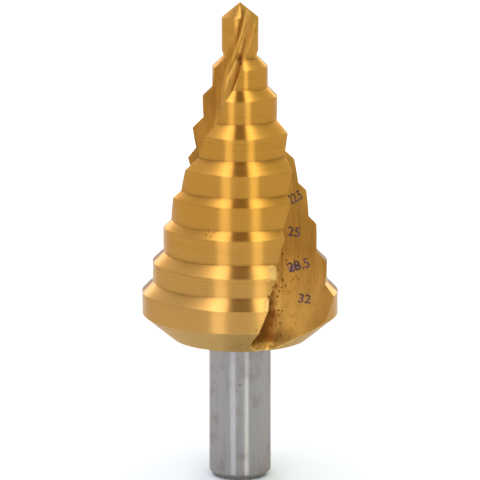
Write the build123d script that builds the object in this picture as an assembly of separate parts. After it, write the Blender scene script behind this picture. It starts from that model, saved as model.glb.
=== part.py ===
from build123d import *
import os
from math import cos, degrees, hypot, log, pi, radians, sin, sqrt, tan

# A two-flute step drill, turned and ground from one bar. It stands on the flat end of its
# shank with the point up: the origin is the centre of that end face and +Z runs to the point.
# Angles round the axis are counted from -Y towards +X, which is the way the drill turns.

# ---- Sizes in millimetres and degrees ----

# The hole that each step opens, from the pilot down to the widest ring.
step_1_diameter = 6.0
step_2_diameter = 9.0
step_3_diameter = 12.0
step_4_diameter = 16.0
step_5_diameter = 20.0
step_6_diameter = 22.5
step_7_diameter = 25.0
step_8_diameter = 28.5
step_9_diameter = 32.0

# How long each step stays at its full diameter, below its own bevel.
step_1_height = 7.05
step_2_height = 3.3
step_3_height = 3.75
step_4_height = 3.55
step_5_height = 3.6
step_6_height = 3.9
step_7_height = 4.0
step_8_height = 3.15
step_9_height = 3.65

# Between two steps lies a cutting bevel, at this angle to the axis.
bevel_angle = 45.0
# Each land falls away behind its cutting edge by this share of its radius. The full radius lies
# this many degrees ahead of the edge, in the flute, so the land is already falling at the edge.
land_relief = 0.013
ridge_lead = 1.0

# The widest ring ends in a cone that runs down to a flat back face.
back_face_diameter = 22.4
back_cone_height = 4.0

# The pilot carries a twist drill's point, and is necked where it meets the second step.
point_angle = 118.0
heel_point_angle = 101.0
chisel_lead = 20.0
neck_depth = 0.3
neck_height = 1.2
# A notch in front of each lip thins the web at the point. It starts this far from the axis,
# falls at this angle to the axis, and opens by this angle.
gash_start = 0.2
gash_fall = 35.0
gash_opening = 115.0

# The flutes climb at a constant angle to the axis, so they turn faster where the drill is thin.
flute_count = 2
helix_angle = 23.5
lip_angle = 5.0
# The flute section: a radial wall under the cutting edge, a round root, a hollow far wall.
# The core, the root's radius and the angle between the walls change from point to back.
core_share_at_point = 0.266
core_share_at_back = 0.43
root_share_at_point = 0.4
root_share_at_back = 0.25
opening_at_point = 51.0
opening_at_back = 70.0
hollow_share = 0.035
# Where the grinding wheel lifts out, the floor rises from the last steps to the back face.
runout_length = 9.7
runout_rise = 4.0

# The round shank has three flats for the jaws of the chuck.
shank_diameter = 10.0
shank_length = 23.15
shank_chamfer = 1.0
flat_count = 3
flat_width = 2.95
flat_turn = 65.0

# How far the shank runs up inside the widest ring, and the flutes' slots run past the drill.
rooted_length = 2.0
slot_reach = 1.4
slot_clearance = 1.0
# The flutes' sections lie this many degrees of twist apart, or this far where the floor rises.
section_turn = 11.0
section_rise = 1.9

# ---- Levels that follow from the sizes ----

radii = [
    step_1_diameter / 2,
    step_2_diameter / 2,
    step_3_diameter / 2,
    step_4_diameter / 2,
    step_5_diameter / 2,
    step_6_diameter / 2,
    step_7_diameter / 2,
    step_8_diameter / 2,
    step_9_diameter / 2,
]
heights = [
    step_1_height,
    step_2_height,
    step_3_height,
    step_4_height,
    step_5_height,
    step_6_height,
    step_7_height,
    step_8_height,
    step_9_height,
]
last = len(radii) - 1
bevel_slope = 1 / tan(radians(bevel_angle))

# The level of each step's top corner above the shank's end, worked out from the widest ring up.
corners = [0.0] * len(radii)
corners[last] = shank_length + back_cone_height + heights[last]
for i in range(last - 1, -1, -1):
    bevel_height = (radii[i + 1] - radii[i]) * bevel_slope
    corners[i] = corners[i + 1] + bevel_height + heights[i]

pilot_foot = corners[0] - heights[0]
tip = corners[0] + radii[0] / tan(radians(point_angle / 2))

# The flutes follow the pilot's cylinder and then the cone that the step corners touch.
guide = [(corners[0], radii[0]), (pilot_foot, radii[0])]
guide += list(zip(corners[1:], radii[1:]))


def envelope(z):
    """Radius of that guide at a level."""
    if z >= guide[0][0]:
        return guide[0][1]
    for (upper, narrow), (lower, wide) in zip(guide, guide[1:]):
        if z >= lower:
            return wide + (narrow - wide) * (z - lower) / (upper - lower)
    return guide[-1][1]


def edge_angle(z):
    """Where the first cutting edge lies at a level: the helix keeps its slope on the guide."""
    stops = [guide[0][0]] + [level for level, radius in guide[1:] if level > z] + [z]
    turned = 0.0
    for upper, lower in zip(stops, stops[1:]):
        narrow, wide = envelope(upper), envelope(lower)
        if abs(wide - narrow) < 1e-6:
            turned += (upper - lower) / narrow
        else:
            turned += (upper - lower) * log(wide / narrow) / (wide - narrow)
    return lip_angle - degrees(turned) * tan(radians(helix_angle))


# ---- The stepped body, relieved behind its cutting edges ----


def relieved(outline, offset, ridge):
    """Two equal turned bodies set off to either side of the axis, and what they share.

    The shared body is widest along its ridge, just ahead of the cutting edges, and narrows
    behind each of them.
    """
    turned = revolve(Plane.XZ * make_face(Polyline(*outline, close=True)), Axis.Z)
    shared = (Pos(offset, 0, 0) * turned) & (Pos(-offset, 0, 0) * turned)
    return Rot(0, 0, ridge) * shared


def step_body(i):
    """One step: its bevel, carried on up to a point inside the steps above, and its cylinder."""
    offset = land_relief * radii[i]
    radius = hypot(radii[i], offset)
    outline = [(0, corners[i] + radius * bevel_slope), (radius, corners[i])]
    if i < last:
        foot = corners[i + 1]
        outline += [(radius, foot), (0, foot)]
    else:
        foot = shank_length
        outline += [(radius, foot + back_cone_height), (back_face_diameter / 2, foot), (0, foot)]
    return relieved(outline, offset, edge_angle(corners[i]) + ridge_lead)


def pilot_body():
    """The pilot: a necked cylinder, topped by two facets that fall away behind the lips."""
    offset = land_relief * radii[0]
    radius = hypot(radii[0], offset)
    waist = radius - neck_depth
    outline = [
        (0, tip + radius),
        (radius, tip + radius),
        (radius, pilot_foot + neck_height),
        (waist, pilot_foot + neck_depth),
        (waist, corners[1]),
        (0, corners[1]),
    ]
    shaft = relieved(outline, offset, edge_angle(corners[0]) + ridge_lead)
    facet_slope = tan(radians(heel_point_angle / 2))
    along_lip = radii[0] * facet_slope / tan(radians(point_angle / 2))
    facet_offset = (radii[0] ** 2 - along_lip**2) / (2 * along_lip)
    apex = tip + facet_offset / facet_slope
    drop = apex - corners[1] + radius
    cone = [(0, apex), (drop * facet_slope, apex - drop), (0, apex - drop)]
    return shaft & relieved(cone, facet_offset, lip_angle + chisel_lead)


# ---- The flutes ----


def along(z, at_point, at_back):
    """A value that changes evenly from the pilot's corner to the widest ring's."""
    share = min((corners[0] - z) / (corners[0] - corners[last]), 1.0)
    return at_point + share * (at_back - at_point)


def core_radius(z):
    """Distance of the flute's root from the axis: it grows to the back and lifts out there."""
    core = envelope(z) * along(z, core_share_at_point, core_share_at_back)
    lifted = (shank_length + runout_length - z) / runout_length
    if lifted > 0:
        core += runout_rise * (1 - cos(pi * min(lifted, 1.0))) / 2
    return core


def flute_section(z):
    """The slot that the wheel leaves at one level, open well past the outside of the drill."""
    radius = envelope(z)
    core = core_radius(z)
    root = radius * along(z, root_share_at_point, root_share_at_back)
    opening = radians(along(z, opening_at_point, opening_at_back))
    reach = slot_reach * radius + slot_clearance
    centre = Vector(sqrt((core + root) ** 2 - root**2), root)
    outward = Vector(cos(opening), sin(opening))
    inward = Vector(-sin(opening), cos(opening))
    near_foot = centre - Vector(0, root)
    deepest = centre - centre.normalized() * root
    far_foot = centre + inward * root
    ahead = far_foot.dot(outward)
    length = sqrt(reach**2 - far_foot.length**2 + ahead**2) - ahead
    end = far_foot + outward * length
    middle = far_foot + outward * (length / 2) + inward * (hollow_share * length)
    mouth = (Vector(1, 0) + end.normalized()).normalized() * reach
    slot = make_face(
        [
            Line((reach, 0), near_foot),
            ThreePointArc(near_foot, deepest, far_foot),
            ThreePointArc(far_foot, middle, end),
            ThreePointArc(end, mouth, (reach, 0)),
        ]
    )
    return Pos(0, 0, z) * Rot(0, 0, edge_angle(z) - 90) * slot


def flute():
    """Sections spaced evenly along the twist, and closer together where the floor rises."""
    levels = [tip + slot_clearance]
    while levels[-1] > shank_length - slot_clearance:
        z = levels[-1]
        pitch = envelope(z) * radians(section_turn) / tan(radians(helix_angle))
        if z < shank_length + runout_length + section_rise:
            pitch = section_rise
        levels.append(z - pitch)
    return loft([flute_section(z) for z in levels])


def gash():
    """The notch in front of the first lip, as a wedge that runs down along the notch's bottom."""
    start = tip - gash_start / tan(radians(point_angle / 2))
    fall = radians(gash_fall)
    bottom = Plane(origin=(gash_start, 0, start), x_dir=(0, 1, 0), z_dir=(sin(fall), 0, -cos(fall)))
    size = step_1_diameter
    floor = -size * tan(radians(gash_opening - 90))
    profile = make_face(Polyline((0, 0), (0, size), (size, size), (size, floor), close=True))
    wedge = extrude(bottom * profile, size, both=True)
    return Rot(0, 0, lip_angle - 90) * wedge


# ---- The shank ----


def shank():
    """A round bar with a chamfered end, flattened on three sides."""
    radius = shank_diameter / 2
    top = shank_length + rooted_length
    outline = [
        (0, 0),
        (radius - shank_chamfer, 0),
        (radius, shank_chamfer),
        (radius, top),
        (0, top),
    ]
    bar = revolve(Plane.XZ * make_face(Polyline(*outline, close=True)), Axis.Z)
    distance = sqrt(radius**2 - (flat_width / 2) ** 2)
    side = Pos(distance + radius / 2, 0, top / 2) * Box(radius, shank_diameter, top)
    for k in range(flat_count):
        bar -= Rot(0, 0, flat_turn - 90 + k * 360 / flat_count) * side
    return bar


# ---- The drill as one solid ----

drill = pilot_body()
for i in range(1, len(radii)):
    drill += step_body(i)
drill += shank()
slot = flute()
notch = gash()
for k in range(flute_count):
    turn = Rot(0, 0, k * 360 / flute_count)
    drill -= turn * slot
    drill -= turn * notch

os.makedirs("parts", exist_ok=True)
drill.label = "step_drill"
export_step(drill, "parts/step_drill.step")
box = drill.bounding_box()
print("solids", len(drill.solids()), "volume", round(drill.volume, 1))
print("box", box.min, box.max)
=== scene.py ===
# %% [markdown]
# # A gold-coated step drill
# A step drill opens holes in sheet metal. It is a cone of nine rings, ground from one bar of
# high-speed steel, and each ring leaves a hole of its own size. This notebook gives the packed
# model its looks: a hard gold-coloured coating on the head, bare ground steel on the shank, the
# size numbers in the flute, and the small pits and rubbed edges of a tool that has been handled.

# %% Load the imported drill
import bpy
import math
from mathutils import Matrix, Vector


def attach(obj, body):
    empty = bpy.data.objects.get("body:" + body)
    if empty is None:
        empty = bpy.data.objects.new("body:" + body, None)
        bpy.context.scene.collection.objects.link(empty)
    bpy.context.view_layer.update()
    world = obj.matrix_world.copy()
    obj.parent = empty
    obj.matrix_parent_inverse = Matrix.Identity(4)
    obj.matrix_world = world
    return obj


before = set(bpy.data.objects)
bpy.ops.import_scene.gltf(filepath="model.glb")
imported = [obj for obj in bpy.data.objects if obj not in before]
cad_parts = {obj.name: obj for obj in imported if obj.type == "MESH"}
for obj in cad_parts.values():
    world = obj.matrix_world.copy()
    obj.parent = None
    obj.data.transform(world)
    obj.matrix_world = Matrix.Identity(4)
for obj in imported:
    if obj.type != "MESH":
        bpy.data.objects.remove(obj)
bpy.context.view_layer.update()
MM_PER_METRE = 1000.0
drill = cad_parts["step_drill"]
bpy.ops.object.select_all(action="DESELECT")
print("triangles", len(drill.data.polygons), "material slots", len(drill.material_slots))

# %% [markdown]
# ## The camera
# A long lens from 0.8 m keeps the rings nearly round and level, as suits a small tool. It looks
# down by 12.5 degrees, so that each ring shows a little of its bevel.

# %% Camera
look_down = math.radians(12.5)
camera_distance = 0.8
aim = Vector((0, 0, 0.039))
away = Vector((0, -math.cos(look_down), math.sin(look_down)))
bpy.ops.object.camera_add(
    location=aim + away * camera_distance,
    rotation=(math.pi / 2 - look_down, 0, 0),
)
camera = bpy.context.object
camera.name = "camera"
camera.data.sensor_width = 36
camera.data.lens = 372
camera.data.clip_start = 0.01
camera.data.clip_end = 50
bpy.context.scene.camera = camera
print("camera at", [round(v, 3) for v in camera.location], "lens", camera.data.lens)

# %% [markdown]
# ## Building node trees
# Every finish below is a small net of shader nodes. Helpers keep the cells short. The first one
# adds a node and fills or links its inputs, and the others build on it: each adds one kind of
# node, or a short chain, and hands back the result.

# %% Helpers for nodes
def node(tree, kind, inputs=None, **settings):
    """Adds a shader node, sets it up, and fills or links its inputs."""
    made = tree.nodes.new("ShaderNode" + kind)
    for name, value in settings.items():
        setattr(made, name, value)
    for key, value in (inputs or {}).items():
        if isinstance(value, bpy.types.NodeSocket):
            tree.links.new(value, made.inputs[key])
        else:
            made.inputs[key].default_value = value
    return made


def maths(tree, operation, *values):
    """Adds a Math node."""
    return node(tree, "Math", dict(enumerate(values)), operation=operation).outputs[0]


def times(tree, first, *others):
    """Multiplies numbers, one after the other."""
    for other in others:
        first = maths(tree, "MULTIPLY", first, other)
    return first


def vectors(tree, operation, *values):
    """Adds a Vector Math node. Its result is a number or a vector, as the operation asks."""
    made = node(tree, "VectorMath", dict(enumerate(values)), operation=operation)
    return next(s for s in made.outputs if s.enabled)


def rise(tree, value, low, high):
    """0 below low, 1 above high, with a soft shoulder between them."""
    sockets = {"Value": value, "From Min": low, "From Max": high}
    return node(tree, "MapRange", sockets, interpolation_type="SMOOTHSTEP").outputs["Result"]


def fall(tree, value, low, high):
    """1 below low, 0 above high, with the same soft shoulder."""
    return maths(tree, "SUBTRACT", 1.0, rise(tree, value, low, high))


def between(tree, value, low, high, soft):
    """1 from low to high and 0 outside, with borders that are soft on either side."""
    risen = rise(tree, value, low - soft, low + soft)
    return maths(tree, "SUBTRACT", risen, rise(tree, value, high - soft, high + soft))


def noise(tree, vector, scale, detail, output="Fac"):
    """Adds a cloudy noise, whose values lie round 0.5."""
    sockets = {"Vector": vector, "Scale": scale, "Detail": detail}
    return node(tree, "TexNoise", sockets).outputs[output]


def mix(tree, share, first, second):
    """Mixes two numbers by a share from 0 to 1."""
    return node(tree, "Mix", {0: share, 2: first, 3: second}).outputs[0]


def blend(tree, share, first, second):
    """Mixes two colours, or a colour with a socket, by a share from 0 to 1."""
    made = node(tree, "Mix", data_type="RGBA")
    for key, value in (("Factor", share), ("A", first), ("B", second)):
        socket = next(s for s in made.inputs if s.name == key and s.enabled)
        if isinstance(value, bpy.types.NodeSocket):
            tree.links.new(value, socket)
        else:
            socket.default_value = value
    return next(s for s in made.outputs if s.enabled)


print("helpers for nodes, numbers, vectors, masks and colours")

# %% [markdown]
# ## The floor
# A plain pale sheet carries the drill. It is so large that its edge is never seen.

# %% Floor
floor_size = 12
paper_grey = 0.71
bpy.ops.object.select_all(action="DESELECT")
bpy.ops.mesh.primitive_plane_add(size=floor_size, location=(0, 0, 0))
floor = bpy.context.object
floor.name = "floor"
pale = bpy.data.materials.new("pale_paper")
pale.use_nodes = True
paper = pale.node_tree.nodes["Principled BSDF"]
paper.inputs["Base Color"].default_value = (paper_grey, paper_grey, paper_grey, 1)
paper.inputs["Roughness"].default_value = 0.9
paper.inputs["Specular IOR Level"].default_value = 0.1
floor.data.materials.append(pale)
print("floor", floor.dimensions[:2])

# %% [markdown]
# ## The studio
# Polished metal has little colour of its own to show: it shows the room. The room here is a sky
# drawn with nodes. Two tall soft boxes run from low on either side up to the ceiling, and they
# become the bright stripes down every ring. The gap between them overhead stays dim, and each
# bevel shows it as a dark brown patch in the middle. Area lights could do the same, but a sky
# lets the boxes' edges be placed exactly, and it lights the back of the drill like the front.

# %% Sky with two soft boxes
room_glow, box_glow, gap_dimming = 0.68, 2.9, 0.44
near_soft, far_soft = 0.03, 0.05
cool_left, greenish_right = (0.96, 1.01, 1.16, 1), (0.98, 1.05, 0.96, 1)
warm_top = (1.1, 0.9, 0.78, 1)
scene = bpy.context.scene
scene.view_settings.view_transform = "Standard"
world = bpy.data.worlds.new("studio")
scene.world = world
world.use_nodes = True
sky = world.node_tree
sky.nodes.clear()
toward = node(sky, "TexCoord").outputs["Generated"]
side, _, height = node(sky, "SeparateXYZ", {0: toward}).outputs
up = rise(sky, height, 0.0, 1.0)


def soft_box(way, inner, inner_top, outer, outer_top):
    """A tall box of light on one side, whose edges lean together towards the ceiling."""
    across = times(sky, side, way)
    near = maths(sky, "MULTIPLY_ADD", up, inner_top - inner, inner)
    far = maths(sky, "MULTIPLY_ADD", up, outer_top - outer, outer)
    past_near = rise(sky, maths(sky, "SUBTRACT", across, near), -near_soft, near_soft)
    past_far = rise(sky, maths(sky, "SUBTRACT", across, far), -far_soft, far_soft)
    return maths(sky, "SUBTRACT", past_near, past_far)


left_box = soft_box(-1, inner=0.33, inner_top=0.18, outer=0.57, outer_top=0.46)
right_box = soft_box(1, inner=0.32, inner_top=0.18, outer=0.54, outer_top=0.42)
boxes = maths(sky, "ADD", left_box, right_box)
in_gap = fall(sky, maths(sky, "ABSOLUTE", side), 0.11, 0.2)
dim = times(sky, in_gap, rise(sky, height, 0.7, 0.9))
room = maths(sky, "MULTIPLY_ADD", boxes, box_glow, room_glow)
glow = times(sky, room, maths(sky, "MULTIPLY_ADD", dim, -gap_dimming, 1.0))
tint = blend(sky, rise(sky, side, -0.5, 0.5), cool_left, greenish_right)
tint = blend(sky, dim, tint, warm_top)
light = node(sky, "Background", {"Color": tint, "Strength": glow})
node(sky, "OutputWorld", {"Surface": light.outputs[0]})
print("sky nodes", len(sky.nodes))

# %% [markdown]
# A broad lamp overhead whitens the floor. Metal would show it as a white patch, so it is kept out
# of reflections.

# %% Lamp for the floor
bpy.ops.object.light_add(type="AREA", location=(0, 0.2, 2.0))
lamp = bpy.context.object
lamp.name = "floor_lamp"
lamp.data.shape = "SQUARE"
lamp.data.size = 2.5
lamp.data.energy = 10
lamp.visible_glossy = False
lamp.visible_camera = False
print("lamp", lamp.data.energy, "W")

# %% [markdown]
# ## Where on the drill
# Most marks on this tool belong to a place: grinding lines run round the rings, streaks run along
# the flutes, pits sit close to a cutting edge. So the first node group works out, for any point,
# its height, its distance from the axis, how deep it lies below the rings, and how many degrees
# it is ahead of a cutting edge. The rings' outline and the twist of the edges are given as ramps
# along the height, worked out here from the ring sizes.

# %% Ring sizes, in millimetres
diameters = [6, 9, 12, 16, 20, 22.5, 25, 28.5, 32]
lengths = [7.05, 3.3, 3.75, 3.55, 3.6, 3.9, 4.0, 3.15, 3.65]
back_face, back_cone, back_radius, shank_radius = 23.15, 4.0, 11.2, 5.0
half_point_angle = 59
rings = [d / 2 for d in diameters]
last = len(rings) - 1
corners = [0.0] * len(rings)
corners[last] = back_face + back_cone + lengths[last]
for i in reversed(range(last)):
    corners[i] = corners[i + 1] + rings[i + 1] - rings[i] + lengths[i]
feet = [corner - length for corner, length in zip(corners, lengths)]
point = corners[0] + rings[0] / math.tan(math.radians(half_point_angle))
outline = [(0, shank_radius), (back_face - 0.02, shank_radius), (back_face, back_radius)]
for foot, corner, ring in reversed(list(zip(feet, corners, rings))):
    outline += [(foot, ring), (corner, ring)]
outline += [(point, 0)]
print("corners", [round(c, 2) for c in corners], "point", round(point, 2))

# %% Twist of the cutting edges, in degrees
helix_angle, lip_angle = 23.5, 5.0


def edge_angle(z):
    """The edge keeps its angle to the axis, so it turns faster where the drill is thin."""
    stops = [(corners[0], rings[0]), (feet[0], rings[0])] + list(zip(corners[1:], rings[1:]))
    turned, (upper, narrow) = 0.0, stops[0]
    for lower, wide in stops[1:] + [(0, rings[last])]:
        if z < lower:
            reached, radius = lower, wide
        else:
            reached, radius = z, wide + (narrow - wide) * (z - lower) / (upper - lower)
        if abs(radius - narrow) > 1e-6:
            mean = (radius - narrow) / math.log(radius / narrow)
        else:
            mean = narrow
        turned += (upper - reached) / mean
        upper, narrow = reached, radius
        if z >= lower:
            break
    return lip_angle - math.degrees(turned) * math.tan(math.radians(helix_angle))


lowest_stop, below_corner = 22.0, 2.0
levels = sorted([lowest_stop] + [c - below_corner for c in corners] + corners)
twist = [(level, edge_angle(level)) for level in levels]
print("edge at ring 9 and ring 2:", round(edge_angle(corners[8])), round(edge_angle(corners[1])))

# %% Helpers for node groups and for ramps along the height
RAMP_TOP = 80.0  # millimetres, a little above the point


def new_group(name, inputs, outputs):
    """An empty node group, with the nodes that take its inputs and give its outputs."""
    made = bpy.data.node_groups.new(name, "ShaderNodeTree")
    for label, kind in inputs:
        made.interface.new_socket(label, in_out="INPUT", socket_type="NodeSocket" + kind)
    for label, kind in outputs:
        made.interface.new_socket(label, in_out="OUTPUT", socket_type="NodeSocket" + kind)
    return made, made.nodes.new("NodeGroupInput"), made.nodes.new("NodeGroupOutput")


def colour_ramp(tree, height, stops):
    """Reads a colour off along the height. Stops are (height, colour), from the bottom up."""
    made = node(tree, "ValToRGB", {"Fac": maths(tree, "DIVIDE", height, RAMP_TOP)})
    points = made.color_ramp.elements
    while len(points) < len(stops):
        points.new(0.5)
    for element, (level, _) in zip(points, stops):
        element.position = level / RAMP_TOP
    for element, (_, shade) in zip(points, stops):
        element.color = (*shade, 1)
    return made.outputs["Color"]


def ramp(tree, height, stops, largest):
    """Reads a number off in the same way. Stops are (height, number), up to the largest."""
    shares = [(level, (number / largest,) * 3) for level, number in stops]
    return times(tree, colour_ramp(tree, height, shares), largest)


print("ramps reach up to", RAMP_TOP, "mm")

# %% Node group: where on the drill
largest_radius, largest_turn = 20, 200
turn_between_flutes = 180.0
answers = ["Height", "Radius", "Depth", "Ahead", "Outward"]
place, _, gives = new_group("where_on_drill", [], [(label, "Float") for label in answers])
spot = node(place, "TexCoord").outputs["Object"]
x, y, z = node(place, "SeparateXYZ", {0: spot}).outputs
tall = times(place, z, MM_PER_METRE)
flat = node(place, "CombineXYZ", {"X": x, "Y": y}).outputs[0]
out_by = times(place, vectors(place, "LENGTH", flat), MM_PER_METRE)
below = maths(place, "SUBTRACT", ramp(place, tall, outline, largest_radius), out_by)
bearing = maths(place, "DEGREES", maths(place, "ARCTAN2", x, times(place, y, -1.0)))
turned = ramp(place, tall, [(level, lip_angle - angle) for level, angle in twist], largest_turn)
ahead = maths(place, "ADD", maths(place, "SUBTRACT", bearing, lip_angle), turned)
ahead = maths(place, "WRAP", ahead, turn_between_flutes, 0.0)
faces_way = node(place, "NewGeometry").outputs["True Normal"]
outward = vectors(place, "DOT_PRODUCT", faces_way, vectors(place, "NORMALIZE", flat))
for label, socket in zip(answers, (tall, out_by, below, ahead, outward)):
    place.links.new(socket, gives.inputs[label])
print("outline stops", len(outline), "twist stops", len(twist))

# %% [markdown]
# ## Grinding lines
# A turned and ground surface is never quite smooth. The wheel leaves fine lines that run round the
# rings, along the flutes and down the shank. One group makes them all: it stretches a noise along
# the way the wheel went, so the same lines serve three finishes with three sets of values.

# %% Node group: grinding lines
lines, takes, gives = new_group(
    "grinding_lines",
    [("Across", "Vector"), ("Fine", "Float"), ("Coarse", "Float")],
    [("Lines", "Float"), ("Bands", "Float")],
)
fine = noise(lines, takes.outputs["Across"], takes.outputs["Fine"], 3.0)
wide = noise(lines, takes.outputs["Across"], takes.outputs["Coarse"], 2.0)
lines.links.new(fine, gives.inputs["Lines"])
lines.links.new(rise(lines, wide, 0.3, 0.7), gives.inputs["Bands"])
print("group", lines.name)

# %% [markdown]
# ## Rubbed edges
# The Bevel node rounds the shading over a short radius without touching the mesh. Where its rounded
# normal leaves the true one, the surface is close to an edge, and that difference is the mask. The
# mask paints a brighter gold along the edges, a painted highlight.

# %% Node group: rounded edges and painted edge highlight
edge_group, takes, gives = new_group(
    "edge_rounding_and_painted_highlight",
    [("Width", "Float")],
    [("Edge", "Float"), ("Normal", "Vector")],
)
rounded = node(edge_group, "Bevel", {"Radius": takes.outputs["Width"]}, samples=6).outputs[0]
plain = node(edge_group, "NewGeometry").outputs["Normal"]
leaves = maths(edge_group, "SUBTRACT", 1.0, vectors(edge_group, "DOT_PRODUCT", rounded, plain))
edge_group.links.new(rise(edge_group, leaves, 0.01, 0.16), gives.inputs["Edge"])
edge_group.links.new(rounded, gives.inputs["Normal"])
print("group", edge_group.name)

# %% [markdown]
# ## Pits and painted shade
# The bar was not perfect: dark pits show in the floor of one flute, close to the cutting edge, and
# a few more on a bevel. Each is a small dent that the coating did not fill. Brown painted shade
# darkens the flute's deep corner near the back and a facet below the pilot. Marks like these could
# be painted on an image, but a list of places is shorter and stays sharp: a ray from the front
# finds the surface point for each one.

# %% Places of the large marks, in millimetres: across, height, radius
ray_start = -0.05  # metres, well in front of the drill


def on_surface(across, tall_at):
    """The point of the drill that a level ray from the front meets, and its normal."""
    start = Vector((across / MM_PER_METRE, ray_start, tall_at / MM_PER_METRE))
    _, where, facing, _ = drill.ray_cast(start, Vector((0, 1, 0)))
    return where, facing


def on_drill(places):
    """The same places as surface points, with their radii in metres."""
    return [(on_surface(a, h)[0], r / MM_PER_METRE) for a, h, r in places]


pits = on_drill([
    (6.84, 37.2, 0.17), (6.6, 36.7, 0.13), (8.0, 37.1, 0.12), (7.5, 36.2, 0.14), (9.4, 36.7, 0.12),
    (8.55, 33.3, 0.13), (9.05, 33.7, 0.12), (9.4, 33.3, 0.14), (5.8, 35.8, 0.15), (6.9, 33.1, 0.15),
    (5.16, 34.3, 0.15), (6.3, 31.6, 0.16), (6.9, 31.6, 0.13), (6.1, 30.8, 0.18), (4.6, 32.8, 0.2),
    (4.65, 32.1, 0.17), (4.75, 29.8, 0.16), (6.2, 28.9, 0.19), (6.75, 28.8, 0.14),
    (4.65, 28.6, 0.17), (4.8, 28.1, 0.15), (6.2, 28.2, 0.14), (8.3, 28.0, 0.17), (8.9, 27.1, 0.14),
    (6.4, 27.1, 0.19), (5.1, 26.7, 0.16), (5.8, 26.7, 0.13), (2.6, 27.8, 0.17), (1.4, 26.2, 0.22),
    (0.1, 24.9, 0.18), (-5.4, 42.2, 0.13), (-4.6, 42.0, 0.12), (-4.1, 42.5, 0.11),
    (-5.0, 42.6, 0.1),
])
# Places of the brown painted shade, in the flute's deep corner and below the pilot.
painted_shade_places = on_drill([
    (3.9, 25.6, 1.9), (4.7, 25.3, 1.8), (3.6, 26.6, 1.5), (4.6, 27.2, 1.9), (4.5, 28.6, 1.5),
    (5.2, 28.4, 1.3), (4.9, 30.0, 1.2), (5.0, 31.3, 1.1), (5.4, 32.7, 0.9), (3.0, 25.0, 1.2),
    (-0.1, 69.0, 0.8), (0.15, 68.2, 0.6), (0.3, 67.5, 0.4),
])
smears = on_drill([(8.7, 35.1, 0.8), (9.4, 35.3, 0.6), (8.0, 34.8, 0.5)])
print("pits", len(pits), "painted_shade_places", len(painted_shade_places), "smears", len(smears))

# %% Node group: spots at given places
def spots(name, places, inner, outer, wobble_scale, wobble_size):
    """A group that is 1 nearer to a place than inner times its radius, and 0 beyond outer times.

    The clear shares are multiplied, so neighbouring places flow into one patch. The wobble bends
    the round border.
    """
    made, _, gives = new_group(name, [], [("Spot", "Float")])
    here = node(made, "TexCoord").outputs["Object"]
    wobble = noise(made, here, wobble_scale, 2.0, output="Color")
    shift = vectors(made, "SUBTRACT", wobble, (0.5, 0.5, 0.5))
    shift = node(made, "VectorMath", {0: shift, "Scale": wobble_size}, operation="SCALE")
    bent = vectors(made, "ADD", here, shift.outputs[0])
    clear = 1.0
    for where, radius in places:
        far_off = vectors(made, "DISTANCE", bent, where)
        clear = times(made, clear, rise(made, far_off, radius * inner, radius * outer))
    made.links.new(maths(made, "SUBTRACT", 1.0, clear), gives.inputs["Spot"])
    return made


pit_spots = spots("pit_spots", pits, 0.5, 1.1, 3500.0, 0.0003)
painted_shade_spots = spots("painted_shade_spots", painted_shade_places, 0.0, 1.2, 700.0, 0.001)
smear_spots = spots("smear_spots", smears, 0.3, 1.1, 1500.0, 0.0009)
print("groups", pit_spots.name, painted_shade_spots.name, smear_spots.name)

# %% Node group: small random pits, long in the direction of the flute, and painted glints near them
cell_scale, glint_scale = 1.9, 4.0
smallest_pit, pit_spread = 0.12, 0.14
scatter, takes, gives = new_group(
    "scattered_pits",
    [("Way", "Vector"), ("Zone", "Float")],
    [("Pit", "Float"), ("Glint", "Float")],
)
way, in_zone = takes.outputs["Way"], takes.outputs["Zone"]
cells = node(scatter, "TexVoronoi", {"Vector": way, "Scale": cell_scale}).outputs
chance = node(scatter, "SeparateColor", {0: cells["Color"]}).outputs
chosen = rise(scatter, maths(scatter, "ADD", chance[0], in_zone), 1.0, 1.05)
size = maths(scatter, "MULTIPLY_ADD", chance[1], pit_spread, smallest_pit)
speck = fall(scatter, maths(scatter, "DIVIDE", cells["Distance"], size), 0.5, 1.1)
scatter.links.new(times(scatter, speck, chosen), gives.inputs["Pit"])
# Glints near the pits are painted highlights.
glint = rise(scatter, noise(scatter, way, glint_scale, 2.0), 0.65, 0.74)
near_pits = maths(scatter, "MINIMUM", times(scatter, in_zone, 2.0), 1.0)
scatter.links.new(times(scatter, glint, near_pits), gives.inputs["Glint"])
print("group", scatter.name)

# %% [markdown]
# ## The steel and its coating
# The whole drill is one bar, so it gets one material, and height decides where the coating stops:
# everything above the back face is gold, the shank below it is bare. Titanium nitride is a true
# metal in its looks, so Metallic is 1 and the colour sits in the reflection. Anisotropic turns the
# highlights into upright stripes, because the grinding lines run round the axis, and the Tangent
# node tells the shader which way round is.

# %% Material: places and masks
edge_width, deep_edge_width = 0.0002, 0.00008  # metres of rounded shading, on rings and in flutes
depth_slack = 0.02  # a share of the radius, a little more than the lands' own relief
steel = bpy.data.materials.new("coated_drill_steel")
steel.use_nodes = True
net = steel.node_tree
skin = net.nodes["Principled BSDF"]
at = node(net, "Group", node_tree=place).outputs
coated = rise(net, at["Height"], back_face - 0.07, back_face - 0.03)
behind = maths(net, "SUBTRACT", turn_between_flutes, at["Ahead"])
# A point is in a flute when it lies clearly below the outline, or when its face turns sideways
# and not outward. The point's own facets face upward, so they are left out by their height.
outline_here = maths(net, "ADD", at["Depth"], at["Radius"])
far_in = maths(net, "MULTIPLY_ADD", outline_here, -depth_slack, at["Depth"])
far_in = rise(net, far_in, 0.06, 0.18)
wall = fall(net, at["Outward"], 0.44, 0.5)
wall = times(net, wall, fall(net, at["Height"], corners[0] - 0.2, corners[0]))
deep = maths(net, "MAXIMUM", far_in, wall)
width = maths(net, "MULTIPLY_ADD", deep, deep_edge_width - edge_width, edge_width)
edge = node(net, "Group", {"Width": width}, node_tree=edge_group).outputs
print("masks: coated, deep, behind, edge")

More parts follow.
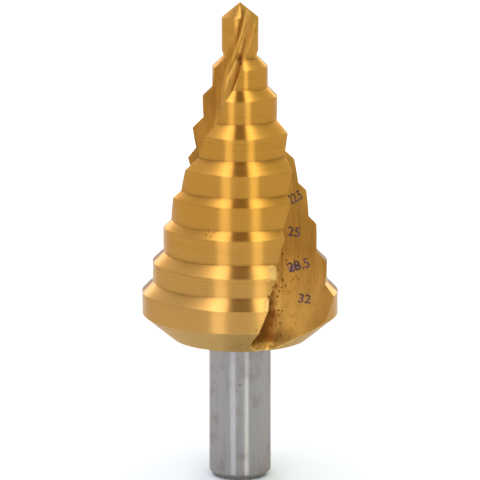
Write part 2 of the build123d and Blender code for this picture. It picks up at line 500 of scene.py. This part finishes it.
# %% Material: lines along the way each surface was ground
flute_stretch, pit_stretch, shank_stretch = 0.09, 0.45, 45
round_way = node(net, "CombineXYZ", {"X": at["Height"], "Y": at["Radius"]}).outputs[0]
angle = maths(net, "RADIANS", at["Ahead"])
wall_x = times(net, at["Radius"], maths(net, "COSINE", angle))
wall_y = times(net, at["Radius"], maths(net, "SINE", angle))


def along_flute(stretch):
    """Places in a flute that is laid straight, with its length shortened so that marks stretch."""
    sockets = {"X": wall_x, "Y": wall_y, "Z": times(net, at["Height"], stretch)}
    return node(net, "CombineXYZ", sockets).outputs[0]


def ground(way, fine, coarse):
    """The outputs of the grinding lines along one way."""
    sockets = {"Across": way, "Fine": fine, "Coarse": coarse}
    return node(net, "Group", sockets, node_tree=lines).outputs


own = node(net, "TexCoord").outputs["Object"]
shank_scale = (MM_PER_METRE, MM_PER_METRE, shank_stretch)
down_way = node(net, "Mapping", {"Vector": own, "Scale": shank_scale}).outputs[0]
turning = ground(round_way, 5.0, 0.7)
streaks = ground(along_flute(flute_stretch), 2.6, 0.55)
drawn = ground(down_way, 2.4, 0.45)
print("three sets of lines")

# %% [markdown]
# The coating is a few thousandths of a millimetre thick. The lower rings are paler, and the back
# cone is the palest. Each ring ends in a corner above the next bevel, and a thin dark brown line of
# painted shade lies there. A colour ramp along the height would do for the tones, but short blends
# are easier to tune one by one.

# %% Material: gold of the rings
band_dark, band_light = (0.475, 0.222, 0.034, 1), (0.515, 0.248, 0.044, 1)
low_gold, cone_gold = (0.505, 0.28, 0.082, 1), (0.545, 0.33, 0.105, 1)
ring_root_painted_shade = (0.17, 0.065, 0.01, 1)
line_below, line_above = 0.12, 0.2
ring_gold = blend(net, turning["Bands"], band_dark, band_light)
low_down = fall(net, at["Height"], 26.0, 48.0)
ring_gold = blend(net, times(net, low_down, 0.8), ring_gold, low_gold)
cone_top = back_face + back_cone
on_cone = fall(net, at["Height"], cone_top - 0.15, cone_top + 0.1)
ring_gold = blend(net, on_cone, ring_gold, cone_gold)
# A thin dark line at each ring's foot, above the next bevel, is painted shade in the concave
# corner.
root_painted_shade_stops = []
for foot in reversed(feet[:last]):
    root_painted_shade_stops += [(foot - line_below, 0), (foot, 1), (foot + line_above, 0)]
root = ramp(net, at["Height"], root_painted_shade_stops, 1)
ring_gold = blend(net, times(net, root, 0.42), ring_gold, ring_root_painted_shade)
print("ring gold mixed, roots at", [round(f, 2) for f in feet[:last]])

# %% [markdown]
# A flute is ground in one pass from the point to the back. Its gold is painted light and shade
# along the height: straw at the point, brown in the middle and gold again at the end. Here a colour
# ramp is the better tool, because eight tones follow each other along one axis. Streaks from the
# wheel darken it in places.

# %% Material: gold of the flutes
# Each stop is a height and a colour.
flute_light_and_shade_stops = [
    (22, (0.56, 0.285, 0.058)), (29, (0.64, 0.335, 0.082)), (33, (0.56, 0.27, 0.058)),
    (38, (0.43, 0.195, 0.036)), (50, (0.64, 0.33, 0.06)), (56, (0.82, 0.44, 0.090)),
    (69, (0.76, 0.40, 0.080)), (77, (0.67, 0.35, 0.073)),
]
streak_brown, outer_painted_shade = (0.18, 0.07, 0.012, 1), (0.43, 0.205, 0.044, 1)
# The tones along the height are painted light and shade.
flute_painted_shading = colour_ramp(net, at["Height"], flute_light_and_shade_stops)
streaked = blend(net, 0.28, flute_painted_shading, streak_brown)
flute_gold = blend(net, streaks["Bands"], streaked, flute_painted_shading)
flute_gold = blend(net, rise(net, streaks["Lines"], 0.42, 0.62), flute_gold, flute_painted_shading)
# The outer part of the flute wall is blended toward a darker brown, painted shade.
outer_wall = rise(net, at["Radius"], 12.5, 15.5)
flute_gold = blend(net, times(net, outer_wall, 0.75), flute_gold, outer_painted_shade)
print("flute stops", len(flute_light_and_shade_stops))

# %% [markdown]
# The marks come on top of the gold, from the widest to the smallest: the brown painted shade in the
# flute's corner, the violet smear at one number, painted glints, a painted highlight along the
# edges, and the pits last, so that nothing covers them. Each is one blend with its own mask.

# %% Material: pits, smear, painted shade, painted glints and painted edge highlight on the coating
flute_corner_painted_shade, smear_violet = (0.20, 0.045, 0.003, 1), (0.20, 0.10, 0.17, 1)
glint_straw, edge_painted_highlight = (0.72, 0.42, 0.13, 1), (0.80, 0.48, 0.15, 1)
pit_dark = (0.11, 0.032, 0.009, 1)
near_root = fall(net, at["Radius"], 9.0, 13.5)
low_part = fall(net, at["Height"], 36.0, 41.0)
zone = times(net, times(net, near_root, low_part), times(net, deep, 0.46))
pitted = {"Way": along_flute(pit_stretch), "Zone": zone}
scattered = node(net, "Group", pitted, node_tree=scatter).outputs
pit = node(net, "Group", node_tree=pit_spots).outputs[0]
pit = maths(net, "MAXIMUM", pit, scattered["Pit"])
# The brown painted shade in the flute's corner and below the pilot.
flute_corner_shade = node(net, "Group", node_tree=painted_shade_spots).outputs[0]
smear = times(net, node(net, "Group", node_tree=smear_spots).outputs[0], deep)
gold = blend(net, deep, ring_gold, flute_gold)
# Each mark is a mask, how strongly it shows, and a colour.
for mask, share, shade in [
    (flute_corner_shade, times(net, deep, 0.86), flute_corner_painted_shade),
    (smear, 0.75, smear_violet),
    (scattered["Glint"], 0.45, glint_straw),
    # A painted highlight along the edges.
    (edge["Edge"], 0.15, edge_painted_highlight),
    (pit, 0.85, pit_dark),
]:
    gold = blend(net, times(net, mask, share), gold, shade)
print("coating colours mixed")

# %% [markdown]
# The two widest bevels end in a ragged patch next to the cutting edge, where metal was torn and
# squeezed. The patch has more roughness and small bumps, and its bright colour is a painted
# highlight. The patch is a band of angle behind the edge, crossed with the bevels' heights. Noise
# is added before the cut-off, which frays the border. The rim where the flute runs out at the back
# has a pale band with bright crumbs in it, both painted highlight.

# %% Material: chipped ends of the widest bevels
torn_painted_highlight, rim_painted_highlight = (0.93, 0.60, 0.22, 1), (0.64, 0.32, 0.06, 1)
crumb_scale, frayed_by, border = 2600.0, 1.6, 0.2
crumbs = noise(net, own, crumb_scale, 3.0)
frayed = maths(net, "MULTIPLY_ADD", maths(net, "SUBTRACT", crumbs, 0.5), frayed_by, at["Height"])
lower_bevel = between(net, frayed, corners[8], feet[7] - 0.15, border)
upper_bevel = between(net, frayed, corners[7] - 0.3, feet[6] - 0.15, border)
bevels = maths(net, "ADD", lower_bevel, upper_bevel)
# The patch reaches 5 degrees back on the lower bevel and 12 on the upper one.
reach = maths(net, "MULTIPLY_ADD", rise(net, at["Height"], 33.0, 35.0), 7.0, 5.0)
to_edge = fall(net, maths(net, "DIVIDE", behind, reach), 0.1, 1.0)
to_edge = times(net, to_edge, maths(net, "SUBTRACT", 1.0, deep))
chipped = rise(net, maths(net, "MULTIPLY_ADD", to_edge, 0.5, crumbs), 0.7, 0.95)
chipped = times(net, chipped, bevels)
rim_height = between(net, at["Height"], 23.1, 24.4, 0.3)
rim_turn = between(net, at["Ahead"], 2.0, 30.0, 3.0)
rim = times(net, rim_height, rim_turn, deep)
gold = blend(net, times(net, rim, 0.6), gold, rim_painted_highlight)
grains = times(net, rim, times(net, rise(net, crumbs, 0.53, 0.61), 0.6))
# The torn patches and the rim's crumbs are painted brighter, a painted highlight.
bright = maths(net, "MAXIMUM", chipped, grains)
gold = blend(net, times(net, bright, 0.75), gold, torn_painted_highlight)
print("chipped ends and rim")

# %% [markdown]
# The shank is the bare steel of the bar. It is duller and greyer than the coating, with drawn
# lines that run down it, cloudy patches from the furnace and a few dark specks.

# %% Material: colour of the bare shank
grey_dark, grey_light = (0.30, 0.277, 0.267, 1), (0.375, 0.35, 0.335, 1)
grey_line, grey_cloud = (0.35, 0.333, 0.32, 1), (0.225, 0.19, 0.175, 1)
speck_dark = (0.05, 0.04, 0.035, 1)
cloud_scale, dot_scale = 380.0, 420.0
grey = blend(net, drawn["Bands"], grey_dark, grey_light)
grey = blend(net, rise(net, drawn["Lines"], 0.35, 0.65), grey, grey_line)
cloud = rise(net, noise(net, own, cloud_scale, 4.0), 0.5, 0.72)
grey = blend(net, times(net, cloud, 0.5), grey, grey_cloud)
dots = node(net, "TexVoronoi", {"Vector": own, "Scale": dot_scale}).outputs
dot_chance = node(net, "SeparateColor", {0: dots["Color"]}).outputs[0]
dot = times(net, fall(net, dots["Distance"], 0.04, 0.09), rise(net, dot_chance, 0.88, 0.9))
grey = blend(net, times(net, dot, 0.7), grey, speck_dark)
print("shank colours mixed")

# %% [markdown]
# Now the parts meet in the shader. Roughness goes the same way as colour: smooth rings, duller
# flutes, and more of it on pits, the painted shade and torn metal. Numbers that never change sit on
# the shader itself. The fine lines go into one Bump node, which also takes the rounded edges.

# %% Material: put together
net.links.new(blend(net, coated, grey, gold), skin.inputs["Base Color"])
ring_rough = maths(net, "MULTIPLY_ADD", turning["Bands"], 0.03, 0.27)
flute_rough = maths(net, "MULTIPLY_ADD", streaks["Bands"], -0.06, 0.54)
bare_rough = maths(net, "MULTIPLY_ADD", drawn["Bands"], 0.05, 0.27)
marked = maths(net, "MAXIMUM", maths(net, "MAXIMUM", pit, bright), flute_corner_shade)
rough = mix(net, deep, ring_rough, flute_rough)
rough = maths(net, "MULTIPLY_ADD", marked, 0.25, rough)
net.links.new(mix(net, coated, bare_rough, rough), skin.inputs["Roughness"])
skin.inputs["Metallic"].default_value = 1.0
skin.inputs["Specular Tint"].default_value = (0.72, 0.65, 0.6, 1)
skin.inputs["Anisotropic"].default_value = 1.0
skin.inputs["Anisotropic Rotation"].default_value = 0.25
round_axis = node(net, "Tangent", direction_type="RADIAL", axis="Z").outputs[0]
net.links.new(round_axis, skin.inputs["Tangent"])
# Depths of the marks in the relief, against lines of depth 1 in the flutes.
ring_lines, shank_lines, pit_depth, crumb_height = 0.022, 0.4, 4.0, 2.5
relief = mix(net, deep, times(net, turning["Lines"], ring_lines), streaks["Lines"])
relief = mix(net, coated, times(net, drawn["Lines"], shank_lines), relief)
relief = maths(net, "SUBTRACT", relief, times(net, pit, pit_depth))
relief = maths(net, "ADD", relief, times(net, bright, times(net, crumbs, crumb_height)))
bumps = {"Height": relief, "Strength": 0.6, "Distance": 0.00003, "Normal": edge["Normal"]}
net.links.new(node(net, "Bump", bumps).outputs[0], skin.inputs["Normal"])
for holder in drill.material_slots:
    holder.material = steel
print("material", steel.name, "nodes", len(net.nodes))

# %% [markdown]
# ## Step sizes in the flute
# The size of each lower step is etched in the flute beside it. A text object is the natural start.
# It is turned into a mesh, cut finer so that it can bend, and pressed on to the flute with a
# Shrinkwrap modifier. It stays three hundredths of a millimetre proud, so it never flickers.

# %% Material of the etched numbers
ink_dark, ink_violet = (0.055, 0.016, 0.012, 1), (0.10, 0.045, 0.06, 1)
ink_scale = 900.0
ink = bpy.data.materials.new("etched_mark")
ink.use_nodes = True
mark_net = ink.node_tree
mark_skin = mark_net.nodes["Principled BSDF"]
ink_cloud = noise(mark_net, node(mark_net, "TexCoord").outputs["Object"], ink_scale, 3.0)
shade = blend(mark_net, rise(mark_net, ink_cloud, 0.42, 0.62), ink_dark, ink_violet)
mark_net.links.new(shade, mark_skin.inputs["Base Color"])
ink_rough = maths(mark_net, "MULTIPLY_ADD", ink_cloud, 0.3, 0.4)
mark_net.links.new(ink_rough, mark_skin.inputs["Roughness"])
mark_skin.inputs["Metallic"].default_value = 0.0
mark_skin.inputs["Specular IOR Level"].default_value = 0.25
print("material", ink.name)

# %% Etched numbers: words, across, height, tilt, width
number_size, stroke_swell, stands_proud = 0.0022, 0.00003, 0.00003
marks = [
    ("22.5", 8.95, 45.6, 24, 0.66),
    ("25", 8.72, 40.4, -10, 1.0),
    ("28.5", 9.45, 35.3, 14, 1.0),
    ("32", 10.35, 30.4, -8, 1.0),
]
for words, across, tall_at, tilt, stretch in marks:
    bpy.ops.object.select_all(action="DESELECT")
    where, facing = on_surface(across, tall_at)
    level = Vector((0, 0, 1)).cross(facing).normalized()
    upright = facing.cross(level).normalized()
    turn = Matrix((level, upright, facing)).transposed()
    turn = turn @ Matrix.Rotation(math.radians(tilt), 3, "Z")
    bpy.ops.object.text_add(location=where, rotation=turn.to_euler())
    mark = bpy.context.object
    mark.name = "size_mark_" + words.replace(".", "_")
    mark.data.body = words
    mark.data.size = number_size
    mark.data.offset = stroke_swell
    mark.data.align_x = "CENTER"
    mark.data.align_y = "CENTER"
    mark.scale = (stretch, 1, 1)
    bpy.ops.object.convert(target="MESH")
    bpy.ops.object.transform_apply(location=True, rotation=True, scale=True)
    bpy.ops.object.mode_set(mode="EDIT")
    bpy.ops.mesh.select_all(action="SELECT")
    bpy.ops.mesh.remove_doubles(threshold=1e-6)
    bpy.ops.mesh.subdivide(number_cuts=3)
    bpy.ops.object.mode_set(mode="OBJECT")
    press = mark.modifiers.new("press", "SHRINKWRAP")
    press.target = drill
    press.wrap_method = "NEAREST_SURFACEPOINT"
    press.wrap_mode = "ABOVE_SURFACE"
    press.offset = stands_proud
    bpy.ops.object.modifier_apply(modifier="press")
    mark.data.materials.clear()
    mark.data.materials.append(ink)
    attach(mark, "root")
    place_in_mm = [round(v * MM_PER_METRE, 1) for v in where]
    print(mark.name, "at", place_in_mm, "faces", len(mark.data.polygons))
